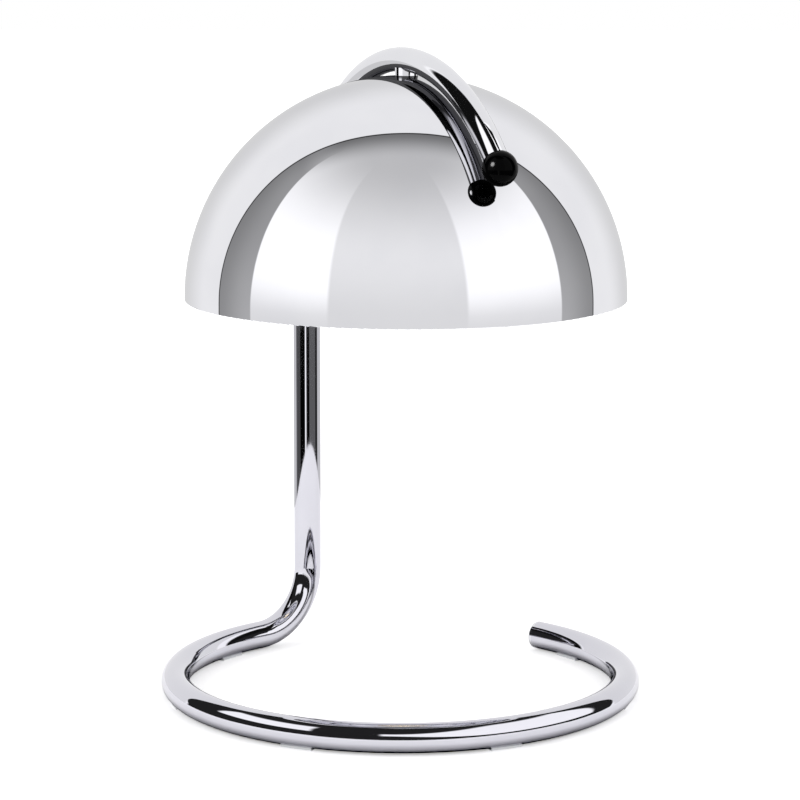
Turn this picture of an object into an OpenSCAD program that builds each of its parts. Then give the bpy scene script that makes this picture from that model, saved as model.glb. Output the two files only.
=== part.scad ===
// Candle warmer lamp: an open ring of bent tube stands on the table and turns up into a post,
// a slimmer arm tube plugs into the post and arches over a mirror dome shade, and a reflector
// bulb under the shade warms what stands inside the ring.
// Millimetres. +Z is up, Z = 0 is the table, the origin is the centre of the ring, +Y is the back.

/* [Base tube] */
// Outer diameter of the tube that makes the ring and the post
tube_d = 13; // [12:0.5:16]
// Wall of the base tube
tube_wall = 1; // [0.8:0.1:1.2]
// Radius of the ring, to the middle of the tube
ring_r = 103.5; // [95:0.5:115]
// Direction of the ring's end where the tube turns up, from +X
ring_start = 131.4; // [128:0.1:136]
// How far round the ring runs, from the turn to its free end
ring_sweep = 277.9; // [250:0.1:290]
// Straight length of tube between the ring and the bend
foot_straight = 0.5; // [0.5:0.5:6]
// Radius of the bend that turns the tube up into the post
foot_bend_r = 29.9; // [24:0.1:36]
// Height of the top of the post above the table
post_top = 166; // [150:1:170]

/* [Base fittings] */
// Thickness of a pad under the lowest line of the tube
pad_t = 0.5; // [0.4:0.1:2]
// Width of a pad across the tube
pad_w = 6; // [4:0.5:8]
// Height of a pad at its edges
pad_h = 1.2; // [0.8:0.1:1.6]
// Length of a pad round the ring, in degrees
pad_arc = 8; // [4:1:12]
// Number of pads
pad_count = 6; // [3:1:8]
// Distance of the first and last pad from the ends of the ring, in degrees
pad_inset = 8; // [6:1:12]
// Thickness of the cap on the free end of the ring
cap_t = 2; // [1.5:0.1:4]
// Rounding of the cap's edge
cap_round = 1.2; // [0.5:0.1:1.4]
// Length of the plug that holds the cap in the tube
cap_plug_len = 4; // [3:0.5:6]
// Height of the cord inlet above the end of the bend
inlet_up = 9; // [8:1:30]
// Bore of the cord inlet
inlet_bore = 5.8; // [5.4:0.1:6]
// Diameter of the inlet's shank, through the wall of the post
inlet_shank_d = 7.6; // [7.2:0.1:8]
// Diameter of the inlet's collar, outside the post
inlet_collar_d = 10; // [9:0.5:12]
// How far the inlet's shank reaches inside the post's bore
inlet_in = 0.6; // [0.4:0.1:1]
// Diameter of the flexible lead inside the tubes
flex_d = 5.2; // [4:0.1:5.4]
// Radius of the lead's bend behind the inlet
flex_bend_r = 4.2; // [3.6:0.1:4.4]
// Height at which the lead in the post meets the lead in the arm
flex_meet_z = 150; // [120:1:155]

/* [Arm joint] */
// Running clearance all round the arm tube in the post and in the collar
run_clear = 0.08; // [0.03:0.01:0.1]
// Thickness of the bearing washer on top of the post
bearing_t = 1; // [0.6:0.1:2]
// Outer diameter of the stop collar
collar_d = 17; // [15:0.5:18]
// Height of the stop collar
collar_h = 10.5; // [8:0.5:11]
// Chamfer of the collar's edges
collar_chamfer = 0.8; // [0.3:0.1:1.2]
// Diameter of the collar's grub screw
grub_d = 4; // [3:0.5:5]
// Hexagon socket of the grub screw, across its flats
grub_hex = 2; // [1.5:0.5:2.5]
// How far the grub screw's end lies below the collar's side
grub_sunk = 0.2; // [0.1:0.1:0.8]
// Lower end of the arm tube above the table
tail_z = 100; // [80:1:110]
// Thickness of the flange on the grommet in the arm's lower end
grommet_t = 1.2; // [0.8:0.1:2]
// Bore of that grommet
grommet_bore = 6; // [5.6:0.1:6.5]
// Length of the grommet's sleeve in the arm tube
grommet_sleeve = 5.4; // [3:0.1:10]

/* [Arm] */
// Wall of the arm tube
arm_wall = 0.8; // [0.6:0.1:1]
// Gap between the side of the post and the side of the shade
side_gap = 2.4; // [2:0.1:8]
// Gap between the arm tube and the top of the shade
neck_gap = 1.6; // [1.4:0.1:4]
// Radius of the arch in front of the shade's axis, to the middle of the tube
front_arch_r = 118; // [112:0.1:122]
// Angle between the line from the post to the ring's centre and the arm
arm_toe = 1.1; // [-3:0.1:3]
// Direction from the front arch's centre to its free end, above the horizontal
arch_end = 43.3; // [38:0.1:60]
// Diameter of the ball on the arm's end
ball_d = 15.5; // [13:0.5:16]
// Length of the plug that holds the ball in the tube
ball_plug_len = 5; // [3:0.5:7]

/* [Shade] */
// Outer diameter of the shade
shade_d = 200; // [180:1:220]
// Wall of the shade
shade_wall = 0.8; // [0.6:0.1:1.2]
// Height of the shade's rim above the table
rim_z = 183.2; // [180:0.2:200]
// Height of the straight lip below the dome, with its rounded edge
lip_h = 0.4; // [0.4:0.1:6]
// Outer diameter of the hollow threaded nipple
nipple_d = 8; // [7.5:0.1:8.4]
// Pitch of the nipple's thread
nipple_pitch = 1; // [0.75:0.05:1.5]
// Bore of the nipple
nipple_bore = 5.6; // [5.2:0.1:6]
// Diameter of the spacer between the arm and the shade
neck_d = 10.4; // [10:0.1:12]
// How high the spacer's cheeks reach up beside the tube
neck_cheek = 1.9; // [0.3:0.1:2]
// Diameter of the spreader washer inside the shade
spreader_d = 26; // [20:1:36]
// Thickness of the spreader washer in its middle
spreader_t = 1.6; // [1.2:0.1:3]
// Thickness of the spring washer
spring_washer_t = 1; // [0.6:0.1:1.5]
// Height of the nipple's nut
nut_h = 4.5; // [3:0.5:6]
// Width of the nipple's nut across its flats
nut_af = 13; // [12:0.5:14]
// Width of the spring washer's ring
spring_washer_w = 2.8; // [2:0.1:3]
// How far the nipple stands out below its nut
nipple_tail = 1.4; // [1:0.1:3]
// How far the nipple reaches into the bore of the arm tube
nipple_in = 1.5; // [1:0.1:2]

/* [Lampholder] */
// Height of the bracket, from its top plate to its feet
bracket_h = 16; // [15:0.5:24]
// Thickness of the bracket's strip
bracket_t = 1.2; // [0.8:0.1:1.6]
// Width of the bracket's strip
bracket_w = 12; // [9:0.5:16]
// Distance of each leg's outer face from the axis
leg_x = 9.6; // [9.5:0.1:10]
// Distance of each fixing screw from the axis
screw_x = 12.5; // [12.5:0.1:13]
// Diameter of the fixing screws
screw_d = 3; // [2.5:0.5:3]
// Diameter of the lampholder
holder_d = 32; // [31:0.5:38]
// Height of the lampholder
holder_h = 19; // [17:0.5:24]
// Distance of each contact pin from the lamp's axis
pin_r = 5; // [4.8:0.1:5.2]
// Thickness of the lampholder's front face
face_t = 3; // [2:0.1:3.4]
// Turn that locks the bulb, in degrees
lock_turn = 25; // [15:1:30]
// Diameter of the two heat resistant leads
lead_d = 1.9; // [1.4:0.1:2]
// Radius of the leads' bends
lead_bend_r = 3; // [2.6:0.1:3.2]

/* [Bulb] */
// Diameter of the bulb's front
bulb_d = 50; // [44:1:50]
// Length of the bulb from its seat to its front
bulb_l = 47; // [44:1:56]
// Diameter of the bulb's base
base_d = 22; // [20:0.5:24]
// Height of the bulb's base
base_h = 12; // [10:0.5:16]
// Wall of the glass reflector
glass_t = 1.6; // [1.2:0.1:2.2]
// Height of the reflector's straight front rim
front_rim_h = 3; // [2.5:0.5:5]
// Stem diameter of a contact pin
pin_d = 3.2; // [2.8:0.1:3.3]
// Head diameter of a contact pin
pin_head_d = 5; // [4.6:0.1:5.2]
// Head height of a contact pin
pin_head_h = 2.6; // [2:0.1:2.8]
// Diameter of the halogen capsule
capsule_d = 9; // [8:0.5:10]
// Length of the halogen capsule
capsule_l = 26; // [20:1:28]

/* [Hidden] */
$fn = 96;

seat_gap = 0.05;    // between curved faces that are pressed or glued together
free_gap = 0.3;     // between faces that must stay free of each other
screw_gap = 0.1;    // round a screw or a nut in its hole
plug_gap = 0.25;    // round a straight plug in the curved end of a tube
eps = 0.01;         // overlap that lets a cut run cleanly through a face
large = 400;        // larger than the lamp

// Base
tube_r = tube_d / 2;
tube_bore = tube_d - 2 * tube_wall;
tube_z = pad_t + tube_r;
ring_out_r = ring_r + tube_r;
ring_end = ring_start + ring_sweep;
foot_run = foot_straight + foot_bend_r;
post_x = ring_r * cos(ring_start) + foot_run * sin(ring_start);
post_y = ring_r * sin(ring_start) - foot_run * cos(ring_start);
post_foot_z = tube_z + foot_bend_r;
inlet_z = post_foot_z + inlet_up;
inlet_out = ring_out_r - post_y;    // the inlet ends level with the back of the ring

// Arm joint
arm_d = tube_bore - 2 * run_clear;
arm_r = arm_d / 2;
arm_bore = arm_d - 2 * arm_wall;
collar_z = post_top + bearing_t + seat_gap;

// Arch
shade_r = shade_d / 2;
shade_in_r = shade_r - shade_wall;
shade_z = rim_z + lip_h;
arm_reach = tube_r + side_gap + shade_r;
arm_top = shade_r + neck_gap + arm_r;    // arch's top above the dome's centre, to the tube's middle
arch_top_z = shade_z + arm_top;
arch_z = arch_top_z - arm_reach;         // the rear arch turns from the post's axis to the shade's
nipple_top = arm_top - arm_bore / 2 + nipple_in;
arm_heading = atan2(-post_y, -post_x) + arm_toe;
ball_r = ball_d / 2;
ball_seat = sqrt(ball_r * ball_r - arm_r * arm_r);

// Lead in the arm: it stops short of the nipple, where its two cores turn down
flex_stop = 7;
flex_turn = acos(flex_stop / arm_reach);
core_gap = 0.4;                          // between the two cores
lead_x = (lead_d + core_gap) / 2;

// Stack under the shade, measured down from the dome's centre plane
bracket_top = shade_in_r - spreader_t;
spring_washer_top = bracket_top - bracket_t;
nut_top = spring_washer_top - spring_washer_t;
nipple_end = nut_top - nut_h - nipple_tail;
bush_flange_t = 1.2;
bush_wall = 0.45;
bush_len = 4;
jog_top = nipple_end - bush_flange_t - free_gap;
jog_r = (pin_r - lead_x) / 2;            // the cores spread from the nipple to the contacts
holder_top = bracket_top - bracket_h;
holder_face = holder_top - holder_h;

// Contacts
bulb_seat = holder_face - free_gap;
pin_stem_h = face_t + 2 * free_gap + 0.1;
pin_top = bulb_seat + pin_stem_h + pin_head_h;
contact_z = pin_top + free_gap;
contact_t = 0.8;
contact_d = 4.4;
contact_stem_d = 1.6;
contact_stem_h = 3;
pocket_top = contact_z + contact_t + 0.1;
slot_clear = 0.6;                        // play of a pin in its slot
lead_end = contact_z + contact_t + contact_stem_h;
screw_head_d = 1.8 * screw_d;
screw_head_h = 0.65 * screw_d;
screw_len = 12;
small_nut_af = 1.8 * screw_d;
small_nut_h = 0.8 * screw_d;
nut_web = 8;                             // ceramic between a nut and the bracket's foot
nut_recess_top = holder_top - nut_web;
foot_inset = 0.5;                        // a bracket foot ends this far inside the lampholder's edge

// Bulb
bulb_front = bulb_seat - bulb_l;
base_bottom = bulb_seat - base_h;
bowl_h = base_bottom - bulb_front - front_rim_h;
lens_t = 1.5;
lens_inset = 0.5;
capsule_r = capsule_d / 2;
capsule_in = 4;                          // depth of the capsule's pinch in the base
capsule_wall = 0.8;
coil_d = 1.6;
coil_len = 5;
wire_d = 0.5;

// ---------------------------------------------------------------- frames and shared shapes

// Stands its children on the post's axis
module at_post() {
    translate([post_x, post_y, 0]) children();
}

// Post's axis, with X along the arm
module arm_frame() {
    at_post() rotate([0, 0, arm_heading]) children();
}

// Centre of the dome, with X along the arm
module shade_frame() {
    arm_frame() translate([arm_reach, 0, shade_z]) children();
}

// Free end of the arch, with Z along the tube's last direction
module ball_frame() {
    arm_frame() translate([arm_reach, 0, arch_top_z - front_arch_r]) rotate([0, -arch_end, 0])
        translate([front_arch_r, 0, 0]) rotate([180, 0, 0]) children();
}

// Free end of the ring, with Z out of the tube
module ring_end_frame() {
    rotate([0, 0, ring_end]) translate([ring_r, 0, tube_z]) rotate([-90, 0, 0]) children();
}

// Cross-section of a tube, or of a rod where the bore is 0
module section(d, bore) {
    difference() {
        circle(d = d);
        if (bore > 0) circle(d = bore);
    }
}

// Bend from -Z towards +X, starting at the origin
module bend(r, angle, d, bore = 0) {
    translate([r, 0, 0]) rotate([90, 0, 0]) rotate([0, 0, 180])
        rotate_extrude(angle = angle) translate([r, 0]) section(d, bore);
}

// Arc of tube in the arm's frame, round a centre under the arch's top, that starts at a direction
module arch(r, start, turn, d, bore = 0) {
    translate([arm_reach, 0, arch_top_z - r]) rotate([90, 0, 0]) rotate([0, 0, start])
        mirror([0, 1, 0]) rotate_extrude(angle = turn, $fn = 180) translate([r, 0]) section(d, bore);
}

// The whole arch, from the post's axis over the shade to its free end
module whole_arch(d, bore = 0) {
    arch(arm_reach, 180, 90, d, bore);
    arch(front_arch_r, 90, 90 - arch_end, d, bore);
}

// Cylinder between two heights
module post_between(z_low, z_high, d) {
    translate([0, 0, z_low]) cylinder(h = z_high - z_low, d = d);
}

// Hexagonal prism
module hexagon(af, h) {
    cylinder(h = h, d = af / cos(30), $fn = 6);
}

// Rod with a round-shouldered edge at its top
module rounded_disc(d, h, round) {
    rotate_extrude() {
        square([d / 2 - round, h]);
        square([d / 2, h - round]);
        translate([d / 2 - round, h - round]) intersection() {
            circle(r = round);
            square(round);
        }
    }
}

// Hollow rod with ring-shaped threads between two heights
module threaded_tube(d, bore, pitch, z_low, z_high) {
    depth = 0.54 * pitch;
    turns = floor((z_high - z_low) / pitch);
    left_over = (z_high - z_low - turns * pitch) / 2;
    rotate_extrude() polygon(concat(
        [[bore / 2, z_low], [d / 2 - depth, z_low]],
        [for (i = [0 : turns - 1], side = [0, 1])
            [d / 2 - depth * (1 - side), z_low + left_over + (i + side / 2) * pitch]],
        [[d / 2 - depth, z_high], [bore / 2, z_high]]));
}

// ---------------------------------------------------------------- base

module base_tube() {
    color("#c9cbd2") difference() {
        // each stretch starts face to face on the end of the one before it
        rotate([0, 0, ring_start]) translate([0, 0, tube_z]) {
            rotate_extrude(angle = ring_sweep, $fn = 180)
                translate([ring_r, 0]) section(tube_d, tube_bore);
            translate([ring_r, 0, 0]) {
                rotate([90, 0, 0]) linear_extrude(foot_straight) section(tube_d, tube_bore);
                translate([0, -foot_straight, foot_bend_r]) {
                    rotate([0, 90, 180]) rotate_extrude(angle = 90)
                        translate([foot_bend_r, 0]) section(tube_d, tube_bore);
                    translate([0, -foot_bend_r, 0])
                        linear_extrude(post_top - post_foot_z) section(tube_d, tube_bore);
                }
            }
        }
        at_post() translate([0, 0, inlet_z]) rotate([-90, 0, 0])
            cylinder(h = tube_d, d = inlet_shank_d + 2 * seat_gap);
    }
}

module end_cap() {
    color("#d4d6dc") ring_end_frame() {
        rounded_disc(tube_d, cap_t, cap_round);
        post_between(-cap_plug_len, eps, tube_bore - 2 * plug_gap);
    }
}

module ring_pads() {
    pad_span = ring_sweep - 2 * pad_inset - pad_arc;
    color("#dfe3e6") for (i = [0 : pad_count - 1])
        rotate([0, 0, ring_start + pad_inset + i * pad_span / (pad_count - 1)])
            rotate_extrude(angle = pad_arc, $fn = 180) translate([ring_r, 0]) difference() {
                translate([-pad_w / 2, 0]) square([pad_w, pad_h]);
                translate([0, tube_z]) circle(r = tube_r + seat_gap);
            }
}

module cord_bush() {
    shank_y = tube_bore / 2 - inlet_in;
    color("#1b1b1d") at_post() difference() {
        union() {
            // collar with a saddle that fits the round side of the post
            difference() {
                translate([0, tube_r / 2, inlet_z]) rotate([-90, 0, 0])
                    rounded_disc(inlet_collar_d, inlet_out - tube_r / 2, cap_round);
                post_between(inlet_z - inlet_collar_d, inlet_z + inlet_collar_d, tube_d + 2 * seat_gap);
            }
            translate([0, shank_y, inlet_z]) rotate([-90, 0, 0])
                cylinder(h = inlet_out - shank_y - cap_round, d = inlet_shank_d);
        }
        translate([0, 0, inlet_z]) rotate([-90, 0, 0]) cylinder(h = inlet_out + eps, d = inlet_bore);
    }
}

module lower_flex() {
    stub_y = tube_bore / 2 - inlet_in - free_gap;
    color("#2b2b2e") at_post() {
        translate([0, flex_bend_r, inlet_z]) rotate([-90, 0, 0])
            cylinder(h = stub_y - flex_bend_r, d = flex_d);
        translate([0, 0, inlet_z + flex_bend_r]) rotate([0, 0, 90])
            bend(flex_bend_r, 90, flex_d);
        post_between(inlet_z + flex_bend_r, flex_meet_z, flex_d);
    }
}

module bearing_washer() {
    color("#f2f2ee") at_post() translate([0, 0, post_top])
        linear_extrude(bearing_t) section(tube_d, tube_bore);
}

// ---------------------------------------------------------------- collar

module stop_collar() {
    color("#cfd1d7") at_post() translate([0, 0, collar_z]) difference() {
        rotate_extrude() polygon([
            [arm_r + run_clear, 0],
            [collar_d / 2 - collar_chamfer, 0],
            [collar_d / 2, collar_chamfer],
            [collar_d / 2, collar_h - collar_chamfer],
            [collar_d / 2 - collar_chamfer, collar_h],
            [arm_r + run_clear, collar_h]]);
        rotate([0, 0, arm_heading + 180]) translate([0, 0, collar_h / 2]) rotate([0, 90, 0])
            cylinder(h = collar_d, d = grub_d + 2 * seat_gap);
    }
}

module collar_screw() {
    tip = arm_r + run_clear;
    length = collar_d / 2 - tip - grub_sunk;
    color("#3a3a3d") at_post() rotate([0, 0, arm_heading + 180])
        translate([tip, 0, collar_z + collar_h / 2]) rotate([0, 90, 0]) difference() {
            cylinder(h = length, d = grub_d);
            translate([0, 0, length / 2]) hexagon(grub_hex, length);
        }
}

// ---------------------------------------------------------------- arm

module arm_tube() {
    color("#c9cbd2") difference() {
        arm_frame() {
            translate([0, 0, tail_z]) linear_extrude(arch_z - tail_z) section(arm_d, arm_bore);
            whole_arch(arm_d, arm_bore);
        }
        // hole for the nipple
        shade_frame() post_between(shade_r, arm_top, nipple_d + 2 * screw_gap);
    }
}

module tail_grommet() {
    color("#e9e7df") arm_frame() difference() {
        union() {
            post_between(tail_z - grommet_t, tail_z, arm_d - 2 * seat_gap);
            post_between(tail_z - eps, tail_z + grommet_sleeve, arm_bore - 2 * seat_gap);
        }
        post_between(tail_z - large / 4, tail_z + large / 4, grommet_bore);
    }
}

module upper_flex() {
    color("#2b2b2e") arm_frame() {
        post_between(flex_meet_z + free_gap, arch_z, flex_d);
        arch(arm_reach, 180, flex_turn, flex_d);
    }
}

module end_ball() {
    color("#101012") ball_frame() {
        translate([0, 0, ball_seat]) intersection() {
            sphere(d = ball_d);
            translate([0, 0, large / 2 - ball_seat]) cube(large, center = true);
        }
        post_between(-ball_plug_len, eps, arm_bore - 2 * plug_gap);
    }
}

module neck_spacer() {
    color("#c4c6cd") difference() {
        shade_frame() difference() {
            post_between(shade_r - 1, arm_top - arm_r + neck_cheek, neck_d);
            sphere(r = shade_r + seat_gap, $fn = 180);
            post_between(0, large / 2, nipple_d + 2 * seat_gap);
        }
        arm_frame() whole_arch(arm_d + 2 * seat_gap);
    }
}

// ---------------------------------------------------------------- shade and its fixing

module shade() {
    color("#d9dbe2") shade_frame() difference() {
        union() {
            intersection() {
                sphere(r = shade_r, $fn = 240);
                translate([0, 0, large / 2]) cube(large, center = true);
            }
            post_between(shade_wall / 2 - lip_h, 0, shade_d);
            translate([0, 0, shade_wall / 2 - lip_h]) rotate_extrude($fn = 240)
                translate([shade_r - shade_wall / 2, 0]) circle(d = shade_wall, $fn = 24);
        }
        sphere(r = shade_in_r, $fn = 240);
        post_between(-2 * lip_h, 0, 2 * shade_in_r);
        post_between(0, large / 2, nipple_d + 2 * screw_gap);
    }
}

module shade_nipple() {
    color("#cdb56a") shade_frame()
        threaded_tube(nipple_d, nipple_bore, nipple_pitch, nipple_end, nipple_top);
}

module spreader_washer() {
    color("#b9bbc0") shade_frame() difference() {
        intersection() {
            post_between(bracket_top, shade_r, spreader_d);
            sphere(r = shade_in_r - seat_gap, $fn = 180);
        }
        post_between(0, large / 2, nipple_d + 2 * screw_gap);
    }
}

module holder_bracket() {
    foot_end = holder_d / 2 - foot_inset;
    color("#b4b6bb") shade_frame() difference() {
        union() {
            translate([-leg_x, -bracket_w / 2, bracket_top - bracket_t])
                cube([2 * leg_x, bracket_w, bracket_t]);
            for (side = [0, 1]) mirror([side, 0, 0]) {
                translate([leg_x - bracket_t, -bracket_w / 2, holder_top])
                    cube([bracket_t, bracket_w, bracket_h]);
                translate([leg_x - bracket_t, -bracket_w / 2, holder_top])
                    cube([foot_end - leg_x + bracket_t, bracket_w, bracket_t]);
            }
        }
        post_between(0, large / 2, nipple_d + 2 * screw_gap);
        for (side = [-1, 1]) translate([side * screw_x, 0, 0])
            post_between(0, large / 2, screw_d + 2 * screw_gap);
    }
}

module spring_washer() {
    inner_r = nipple_d / 2 + screw_gap;
    split_angle = 9;
    split_at = 35;
    color("#9fa1a6") shade_frame() rotate([0, 0, split_at])
        rotate_extrude(angle = 360 - split_angle) translate([inner_r, nut_top])
            square([spring_washer_w, spring_washer_t]);
}

module nipple_nut() {
    color("#cdb56a") shade_frame() translate([0, 0, nut_top - nut_h]) difference() {
        hexagon(nut_af, nut_h);
        translate([0, 0, -eps]) cylinder(h = nut_h + 2 * eps, d = nipple_d + 2 * screw_gap);
    }
}

module nipple_bush() {
    sleeve_d = nipple_bore - 2 * seat_gap;
    color("#efece2") shade_frame() difference() {
        union() {
            post_between(nipple_end - bush_flange_t, nipple_end, nipple_d);
            post_between(nipple_end - eps, nipple_end + bush_len, sleeve_d);
        }
        post_between(0, large / 2, sleeve_d - 2 * bush_wall);
    }
}

// One core from the end of the flexible lead, down the nipple and out to its contact
module core(side) {
    translate([0, side * lead_x, 0]) {
        translate([free_gap - flex_stop, 0, arm_top]) rotate([0, 90, 0])
            cylinder(h = flex_stop - free_gap - lead_bend_r, d = lead_d);
        translate([0, 0, arm_top - lead_bend_r]) rotate([0, 0, 180]) rotate([180, 0, 0])
            bend(lead_bend_r, 90, lead_d);
        post_between(jog_top, arm_top - lead_bend_r, lead_d);
        translate([0, 0, jog_top]) rotate([0, 0, 90 * side]) {
            bend(jog_r, 90, lead_d);
            translate([2 * jog_r, 0, -2 * jog_r]) rotate([0, 180, 0]) bend(jog_r, 90, lead_d);
        }
    }
    translate([0, side * pin_r, 0]) post_between(lead_end, jog_top - 2 * jog_r, lead_d);
}

module live_lead() {
    color("#7a4a25") shade_frame() core(1);
}

module neutral_lead() {
    color("#2f5fa8") shade_frame() core(-1);
}

// ---------------------------------------------------------------- lampholder

// What both pins share: its children are placed for each pin, at its locked place on the Y axis
module each_pin() {
    for (turn = [90, 270]) rotate([0, 0, turn]) children();
}

// Curved slot from a pin's locked place to where it enters
module pin_slot(width, z_low, z_high) {
    end_turn = asin(width / 2 / pin_r);
    rotate([0, 0, -lock_turn - end_turn]) rotate_extrude(angle = lock_turn + 2 * end_turn)
        translate([pin_r - width / 2, z_low]) square([width, z_high - z_low]);
}

module lamp_holder() {
    head_way = pin_head_d + slot_clear;
    color("#f1efe8") shade_frame() difference() {
        post_between(holder_face, holder_top, holder_d);
        each_pin() {
            pin_slot(pin_d + slot_clear, holder_face - eps, holder_face + face_t + eps);
            pin_slot(head_way, holder_face + face_t, pocket_top);
            rotate([0, 0, -lock_turn]) translate([pin_r, 0, 0])
                post_between(holder_face - eps, holder_face + face_t + eps, head_way - screw_gap);
            translate([pin_r, 0, 0])
                post_between(pocket_top - eps, holder_top + eps, lead_d + 2 * screw_gap + free_gap);
        }
        for (side = [-1, 1]) translate([side * screw_x, 0, 0]) {
            post_between(holder_face - eps, holder_top + eps, screw_d + 2 * screw_gap);
            post_between(holder_face - eps, nut_recess_top, small_nut_af / cos(30) + 2 * screw_gap);
        }
    }
}

module holder_contacts() {
    color("#c9a24a") shade_frame() each_pin() translate([pin_r, 0, 0]) {
        post_between(contact_z, contact_z + contact_t, contact_d);
        post_between(contact_z, lead_end, contact_stem_d);
    }
}

module holder_screws() {
    seat_z = holder_top + bracket_t;
    color("#aeb0b5") shade_frame() for (side = [-1, 1]) translate([side * screw_x, 0, 0])
        difference() {
            union() {
                post_between(seat_z - screw_len, seat_z + eps, screw_d);
                translate([0, 0, seat_z])
                    rounded_disc(screw_head_d, screw_head_h, screw_head_h / 2);
            }
            for (turn = [0, 90]) rotate([0, 0, turn])
                translate([-screw_d / 2, -screw_d / 10, seat_z + screw_head_h / 2])
                    cube([screw_d, screw_d / 5, screw_head_h]);
        }
}

module holder_nuts() {
    color("#aeb0b5") shade_frame() for (side = [-1, 1])
        translate([side * screw_x, 0, nut_recess_top - small_nut_h]) difference() {
            hexagon(small_nut_af, small_nut_h);
            translate([0, 0, -eps])
                cylinder(h = small_nut_h + 2 * eps, d = screw_d + screw_gap);
        }
}

// ---------------------------------------------------------------- bulb

// Radius of the reflector's outside at a depth below its top: a parabola from base to front
function bowl_r(depth) =
    sqrt(pow(base_d / 2, 2) + (pow(bulb_d / 2, 2) - pow(base_d / 2, 2)) * depth / bowl_h);

module bulb_base() {
    color("#e8e5da") shade_frame() difference() {
        post_between(base_bottom, bulb_seat, base_d);
        each_pin() translate([pin_r, 0, 0])
            post_between(bulb_seat - base_h / 3, bulb_seat + eps, pin_d + 2 * seat_gap);
        post_between(base_bottom - eps, base_bottom + capsule_in + seat_gap, capsule_d + 2 * seat_gap);
    }
}

module bulb_pins() {
    color("#c8c9cc") shade_frame() each_pin() translate([pin_r, 0, 0]) {
        post_between(bulb_seat - base_h / 3 + seat_gap, bulb_seat + pin_stem_h + eps, pin_d);
        translate([0, 0, bulb_seat + pin_stem_h])
            rounded_disc(pin_head_d, pin_head_h, pin_head_h / 4);
    }
}

module bulb_reflector() {
    steps = 16;
    outside = [for (i = [0 : steps]) [bowl_r(i * bowl_h / steps), base_bottom - i * bowl_h / steps]];
    inside = [for (i = [steps : -1 : 1])
        [bowl_r(i * bowl_h / steps) - glass_t, base_bottom - i * bowl_h / steps]];
    color("#dfe6ea") shade_frame() rotate_extrude() polygon(concat(
        [[capsule_r + 2 * seat_gap, base_bottom]],
        outside,
        [[bulb_d / 2, bulb_front], [bulb_d / 2 - glass_t, bulb_front]],
        inside,
        [[capsule_r + 2 * seat_gap, base_bottom - glass_t]]));
}

module bulb_lens() {
    color("#eef4f6") shade_frame() translate([0, 0, bulb_front + lens_inset])
        cylinder(h = lens_t, d = bulb_d - 2 * glass_t - 2 * seat_gap);
}

module bulb_capsule() {
    capsule_top = base_bottom + capsule_in;
    dome_z = capsule_top - capsule_l + capsule_r;
    color("#f4f7f8") shade_frame() difference() {
        union() {
            post_between(dome_z, capsule_top, capsule_d);
            translate([0, 0, dome_z]) sphere(d = capsule_d);
        }
        post_between(dome_z, base_bottom - glass_t, capsule_d - 2 * capsule_wall);
        translate([0, 0, dome_z]) sphere(d = capsule_d - 2 * capsule_wall);
    }
}

module bulb_filament() {
    wire_top = base_bottom - glass_t;
    coil_z = base_bottom + capsule_in - capsule_l + capsule_r + 2;
    color("#8d8a84") shade_frame() {
        for (side = [-1, 1]) translate([0, side * coil_len / 2, 0])
            post_between(coil_z, wire_top, wire_d);
        translate([0, coil_len / 2 + wire_d, coil_z]) rotate([90, 0, 0])
            cylinder(h = coil_len + 2 * wire_d, d = coil_d);
    }
}

base_tube();
end_cap();
ring_pads();
cord_bush();
lower_flex();
bearing_washer();
stop_collar();
collar_screw();
arm_tube();
tail_grommet();
upper_flex();
end_ball();
neck_spacer();
shade();
shade_nipple();
spreader_washer();
holder_bracket();
spring_washer();
nipple_nut();
nipple_bush();
live_lead();
neutral_lead();
lamp_holder();
holder_contacts();
holder_screws();
holder_nuts();
bulb_base();
bulb_pins();
bulb_reflector();
bulb_lens();
bulb_capsule();
bulb_filament();
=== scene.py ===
"""The looks of a candle warmer lamp: its finishes, its studio and its camera.

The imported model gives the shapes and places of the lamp's pieces. Each class of the lamp below holds one
sub-assembly: its fields are the finishes, and it gives them to the solids. Lengths are in metres.
"""

import logging
import math
from dataclasses import dataclass

import bpy
from mathutils import Matrix, Vector


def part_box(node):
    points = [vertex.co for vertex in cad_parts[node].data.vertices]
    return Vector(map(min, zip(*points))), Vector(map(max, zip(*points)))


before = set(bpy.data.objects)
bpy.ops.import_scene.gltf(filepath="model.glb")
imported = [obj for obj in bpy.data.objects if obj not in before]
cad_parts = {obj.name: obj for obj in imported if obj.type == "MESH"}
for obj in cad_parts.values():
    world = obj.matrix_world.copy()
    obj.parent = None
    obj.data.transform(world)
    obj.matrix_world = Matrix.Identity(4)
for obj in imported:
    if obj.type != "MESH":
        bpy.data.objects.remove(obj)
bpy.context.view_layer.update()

log = logging.getLogger("lamp")

Colour = tuple[float, float, float]
Point = tuple[float, float, float]
Span = tuple[float, float]
Socket = bpy.types.NodeSocket
Term = float | Colour | Socket


# ------------------------------------------------------------------ node sheets


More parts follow.
